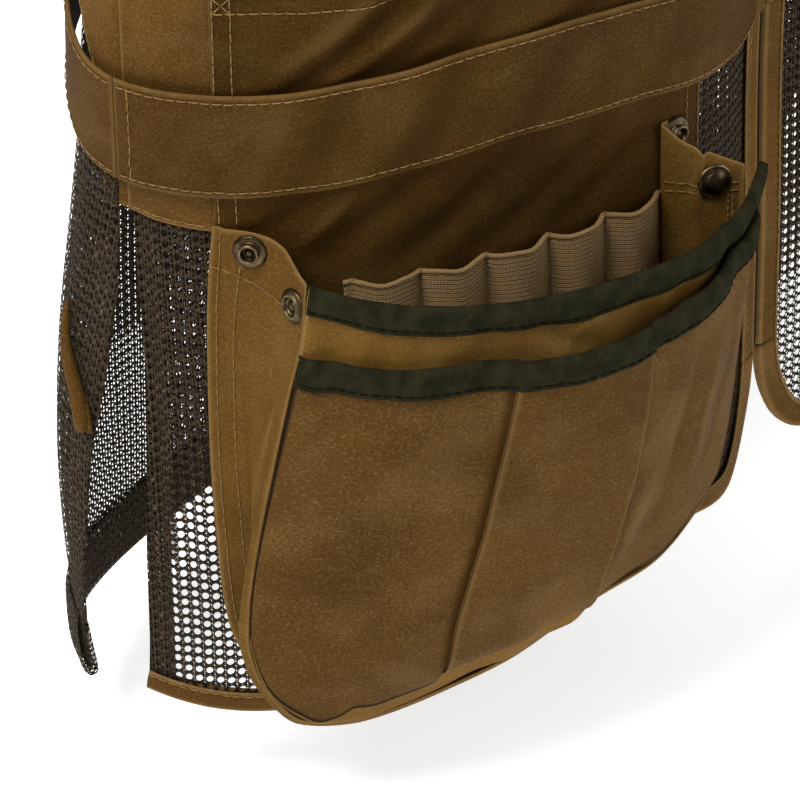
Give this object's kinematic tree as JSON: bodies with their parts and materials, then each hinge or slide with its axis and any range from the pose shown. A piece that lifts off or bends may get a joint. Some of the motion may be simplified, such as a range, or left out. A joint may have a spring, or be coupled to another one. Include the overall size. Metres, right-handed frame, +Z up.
{
  "type": "shooting vest",
  "caption": "Sleeveless shooting vest, filled out as worn: mesh body, canvas upper fronts, a belt, and bellows pockets with elastic shell loops inside.",
  "frame": {"origin": "midway between the shoulders, at the height of the neck ends of the shoulder seams, where the wearer carries the vest", "axes": "+Z up, -Y out of the front, +X to the wearer's left"},
  "size_m": [0.5358, 0.2804, 0.6855],
  "materials": {
    "waxed_canvas": "waxed twill, slightly dusty",
    "knit_mesh": "open knit, matt",
    "moleskin": "short brushed nap",
    "ribbed_elastic": "ribbed knit",
    "aged_brass": "antiqued, rubbed bright on the edges",
    "zip_tape": "woven tape, matt"
  },
  "bodies": {
    "root": {"armhole_binding_l": "waxed_canvas", "armhole_binding_r": "waxed_canvas", "back_hem_binding": "waxed_canvas", "back_mesh": "knit_mesh", "belt_back": "waxed_canvas", "belt_front_l": "waxed_canvas", "belt_front_r": "waxed_canvas", "front_canvas_l": "waxed_canvas", "front_canvas_r": "waxed_canvas", "front_edge_high_l": "waxed_canvas", "front_edge_high_r": "waxed_canvas", "front_edge_low_l": "waxed_canvas", "front_edge_low_r": "waxed_canvas", "front_mesh_l": "knit_mesh", "front_mesh_r": "knit_mesh", "front_zip": "zip_tape", "hem_binding_l": "waxed_canvas", "hem_binding_r": "waxed_canvas", "inner_socket_cap_l": "aged_brass", "inner_socket_cap_r": "aged_brass", "inner_socket_l": "aged_brass", "inner_socket_r": "aged_brass", "inner_stud_l": "aged_brass", "inner_stud_r": "aged_brass", "mouth_binding_l": "moleskin", "mouth_binding_r": "moleskin", "neck_binding": "waxed_canvas", "outer_socket_cap_l": "aged_brass", "outer_socket_cap_r": "aged_brass", "outer_socket_l": "aged_brass", "outer_socket_r": "aged_brass", "outer_stud_l": "aged_brass", "outer_stud_r": "aged_brass", "patch_binding_l": "moleskin", "patch_binding_r": "moleskin", "pocket_back_l": "waxed_canvas", "pocket_back_r": "waxed_canvas", "pocket_front_l": "waxed_canvas", "pocket_front_r": "waxed_canvas", "pocket_gusset_l": "waxed_canvas", "pocket_gusset_r": "waxed_canvas", "pocket_patch_l": "waxed_canvas", "pocket_patch_r": "waxed_canvas", "shell_loops_l": "ribbed_elastic", "shell_loops_r": "ribbed_elastic", "side_panel_l": "waxed_canvas", "side_panel_r": "waxed_canvas", "side_strap_l": "waxed_canvas", "side_strap_r": "waxed_canvas"}
  },
  "joints": []
}
